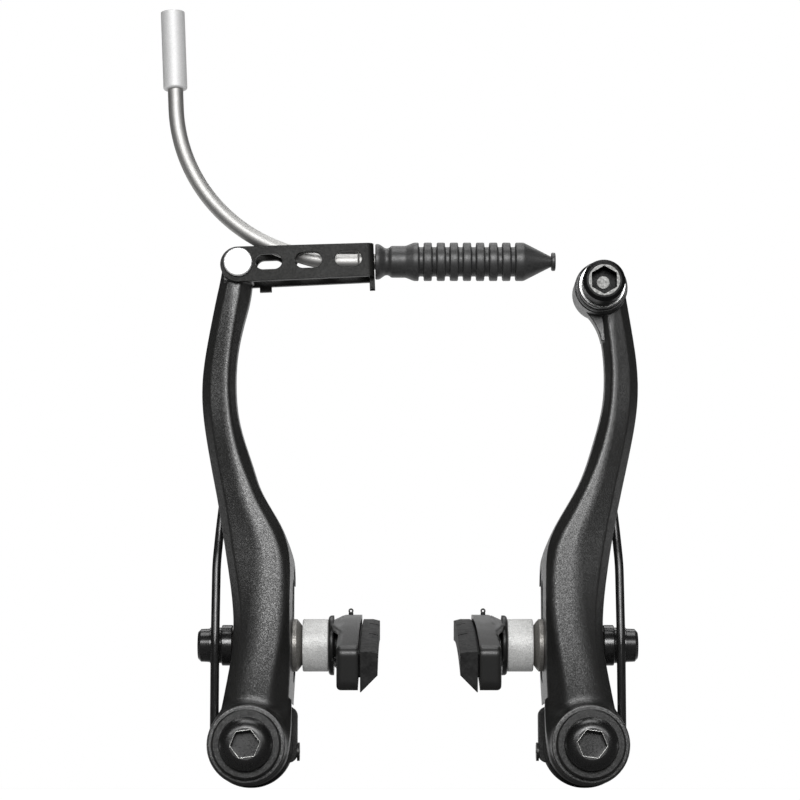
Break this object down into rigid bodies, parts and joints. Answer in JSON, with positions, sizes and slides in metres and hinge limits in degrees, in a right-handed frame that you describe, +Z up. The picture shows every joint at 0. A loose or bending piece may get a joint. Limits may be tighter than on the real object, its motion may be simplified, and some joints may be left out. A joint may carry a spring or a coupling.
{
  "type": "bicycle v-brake",
  "caption": "Linear-pull rim brake: forged arms on frame pivots with return springs, adjustable shoes, a folded link, a bent cable guide tube and a ribbed rubber boot.",
  "frame": {"origin": "midway between the two frame bosses, on the plane of their shoulders", "axes": "+X from the left arm to the right one, +Y into the frame along the pivot bolts, +Z up along the arms"},
  "size_m": [0.117, 0.0701, 0.1904],
  "materials": {
    "bush_steel": "plain steel",
    "bolt_black": "satin gloss black",
    "ring_grey": "satin dark grey",
    "holder_plastic": "rough black",
    "screw_steel": "zinc plated",
    "sleeve_plastic": "plain bearing",
    "spring_black": "gloss black",
    "cap_plastic": "black",
    "dome_steel": "warm satin grey",
    "spacer_silver": "bead blasted",
    "hardware_black": "gloss black",
    "stud_steel": "plain steel",
    "shoe_grey": "satin dark grey",
    "pad_rubber": "moulded black rubber",
    "arm_paint": "dark grey with a fine metallic grain",
    "link_grey": "satin dark grey",
    "pin_silver": "polished",
    "tube_steel": "satin stainless",
    "liner_plastic": "smooth liner",
    "ferrule_silver": "satin",
    "boot_rubber": "matt black",
    "plate_black": "black",
    "washer_silver": "bright",
    "cable_bolt_steel": "black with a bare face"
  },
  "bodies": {
    "frame_side": {"left_pivot_bush": "bush_steel", "left_pivot_bolt": "bolt_black", "left_pivot_washer": "ring_grey", "left_spring_holder": "holder_plastic", "left_tension_screw": "screw_steel", "right_pivot_bush": "bush_steel", "right_pivot_bolt": "bolt_black", "right_pivot_washer": "ring_grey", "right_spring_holder": "holder_plastic", "right_tension_screw": "screw_steel"},
    "left_arm": {"left_arm": "arm_paint", "left_arm_sleeve": "sleeve_plastic", "left_spring": "spring_black", "left_spring_cap": "cap_plastic", "left_spring_pin": "screw_steel"},
    "left_clamp": {"left_inner_dome_washer": "dome_steel", "left_inner_cup_washer": "spacer_silver", "left_outer_dome_washer": "hardware_black", "left_outer_cup_washer": "hardware_black", "left_shoe_nut": "hardware_black"},
    "left_shoe": {"left_shoe_stud": "stud_steel", "left_shoe_holder": "shoe_grey", "left_brake_pad": "pad_rubber", "left_pad_pin": "screw_steel"},
    "right_arm": {"right_arm": "arm_paint", "right_arm_sleeve": "sleeve_plastic", "right_spring": "spring_black", "right_spring_cap": "cap_plastic", "right_spring_pin": "screw_steel", "cable_plate": "plate_black", "cable_washer": "washer_silver", "cable_bolt": "cable_bolt_steel"},
    "right_clamp": {"right_inner_dome_washer": "dome_steel", "right_inner_cup_washer": "spacer_silver", "right_outer_dome_washer": "hardware_black", "right_outer_cup_washer": "hardware_black", "right_shoe_nut": "hardware_black"},
    "right_shoe": {"right_shoe_stud": "stud_steel", "right_shoe_holder": "shoe_grey", "right_brake_pad": "pad_rubber", "right_pad_pin": "screw_steel"},
    "link": {"link": "link_grey", "link_pin": "pin_silver", "noodle_tube": "tube_steel", "noodle_liner": "liner_plastic", "noodle_ferrule": "ferrule_silver", "noodle_collar": "tube_steel", "boot": "boot_rubber"}
  },
  "joints": [
    {"name": "left_arm_pivot", "type": "hinge", "parent": "frame_side", "child": "left_arm", "pos_m": [-0.04, 0, 0], "axis": [0, 1, 0], "range_deg": [-30, 1.3], "stiffness_Nm_per_rad": 2},
    {"name": "right_arm_pivot", "type": "hinge", "parent": "frame_side", "child": "right_arm", "pos_m": [0.04, 0, 0], "axis": [0, -1, 0], "range_deg": [-30, 1.3], "stiffness_Nm_per_rad": 2},
    {"name": "link_pivot", "type": "hinge", "parent": "left_arm", "child": "link", "pos_m": [-0.0436, -0.0115, 0.116], "axis": [0, -1, 0], "range_deg": [-30, 60]},
    {"name": "left_shoe_height", "type": "slide", "parent": "left_arm", "child": "left_clamp", "axis": [0, 0, 1], "range_m": [-0.0022, 0.009]},
    {"name": "left_shoe_tilt", "type": "hinge", "parent": "left_clamp", "child": "left_shoe", "pos_m": [-0.04, -0.005, 0.024], "axis": [1, 0, 0], "range_deg": [-12, 12]},
    {"name": "right_shoe_height", "type": "slide", "parent": "right_arm", "child": "right_clamp", "axis": [0, 0, 1], "range_m": [-0.0022, 0.009]},
    {"name": "right_shoe_tilt", "type": "hinge", "parent": "right_clamp", "child": "right_shoe", "pos_m": [0.04, -0.005, 0.024], "axis": [-1, 0, 0], "range_deg": [-12, 12]}
  ]
}
